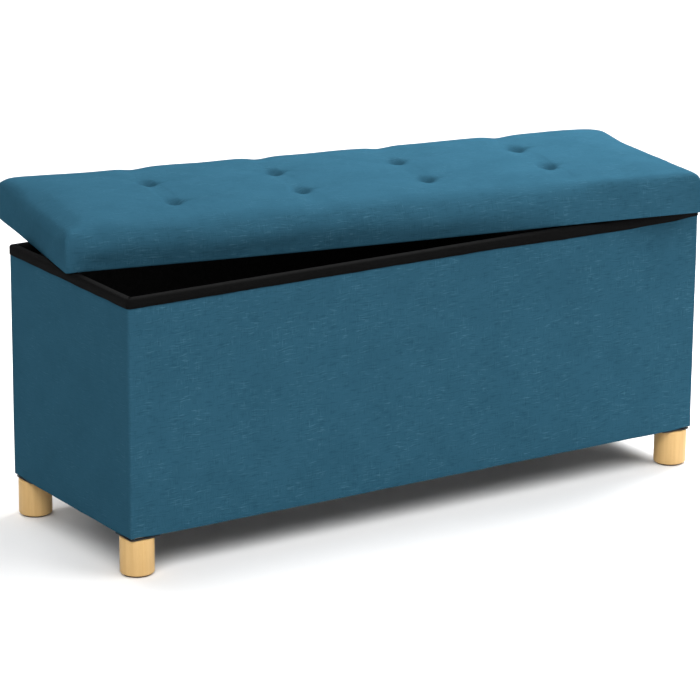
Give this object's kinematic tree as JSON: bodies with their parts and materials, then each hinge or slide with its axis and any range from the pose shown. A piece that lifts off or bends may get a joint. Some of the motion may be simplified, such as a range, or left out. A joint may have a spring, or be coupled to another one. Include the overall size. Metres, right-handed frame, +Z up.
{
  "type": "storage bench",
  "caption": "Fabric-covered storage bench: long rectangular box on short round wooden legs, with a loose padded tufted lid lying askew on its dark-bound rim.",
  "frame": {"origin": "on the floor under the middle of the lid, which is the middle of the whole outline with the lid lying askew as at rest", "axes": "+X along the bench to the right seen from its front, +Y from the front to the back, +Z up"},
  "size_m": [1.0566, 0.5508, 0.4813],
  "materials": {
    "cover_fabric": "petrol blue linen-look weave with slubs",
    "lining_cloth": "black non-woven cloth",
    "binding_tape": "black woven binding, matt",
    "leg_wood": "light beech under clear satin lacquer",
    "fibreboard": "raw fibreboard",
    "foam": "upholstery foam",
    "plate_steel": "black painted steel",
    "fastener_steel": "zinc-plated steel",
    "glide_felt": "dark brown felt",
    "tie_thread": "waxed upholstery thread"
  },
  "bodies": {
    "box": {"front_panel": "fibreboard", "back_panel": "fibreboard", "left_end_panel": "fibreboard", "right_end_panel": "fibreboard", "base_board": "fibreboard", "outer_cover": "cover_fabric", "bottom_cloth": "lining_cloth", "inner_lining": "lining_cloth", "rim_binding": "binding_tape", "corner_plate_front_left": "plate_steel", "plate_screw_front_left_1": "fastener_steel", "plate_screw_front_left_2": "fastener_steel", "plate_screw_front_left_3": "fastener_steel", "plate_screw_front_left_4": "fastener_steel", "leg_front_left": "leg_wood", "hanger_bolt_front_left": "fastener_steel", "tee_nut_front_left": "fastener_steel", "glide_front_left": "glide_felt", "corner_plate_front_right": "plate_steel", "plate_screw_front_right_1": "fastener_steel", "plate_screw_front_right_2": "fastener_steel", "plate_screw_front_right_3": "fastener_steel", "plate_screw_front_right_4": "fastener_steel", "leg_front_right": "leg_wood", "hanger_bolt_front_right": "fastener_steel", "tee_nut_front_right": "fastener_steel", "glide_front_right": "glide_felt", "corner_plate_back_left": "plate_steel", "plate_screw_back_left_1": "fastener_steel", "plate_screw_back_left_2": "fastener_steel", "plate_screw_back_left_3": "fastener_steel", "plate_screw_back_left_4": "fastener_steel", "leg_back_left": "leg_wood", "hanger_bolt_back_left": "fastener_steel", "tee_nut_back_left": "fastener_steel", "glide_back_left": "glide_felt", "corner_plate_back_right": "plate_steel", "plate_screw_back_right_1": "fastener_steel", "plate_screw_back_right_2": "fastener_steel", "plate_screw_back_right_3": "fastener_steel", "plate_screw_back_right_4": "fastener_steel", "leg_back_right": "leg_wood", "hanger_bolt_back_right": "fastener_steel", "tee_nut_back_right": "fastener_steel", "glide_back_right": "glide_felt"},
    "lid": {"lid_board": "fibreboard", "lid_foam": "foam", "lid_cover": "cover_fabric", "lid_lining": "lining_cloth", "tuft_tie_1": "tie_thread", "tuft_tie_2": "tie_thread", "tuft_tie_3": "tie_thread", "tuft_tie_4": "tie_thread", "tuft_tie_5": "tie_thread", "tuft_tie_6": "tie_thread", "tuft_tie_7": "tie_thread", "tuft_tie_8": "tie_thread"}
  },
  "joints": [
    {"name": "lid_lift", "type": "slide", "parent": "box", "child": "lid", "axis": [0, 0, 1], "range_m": [0, 0.25]}
  ]
}
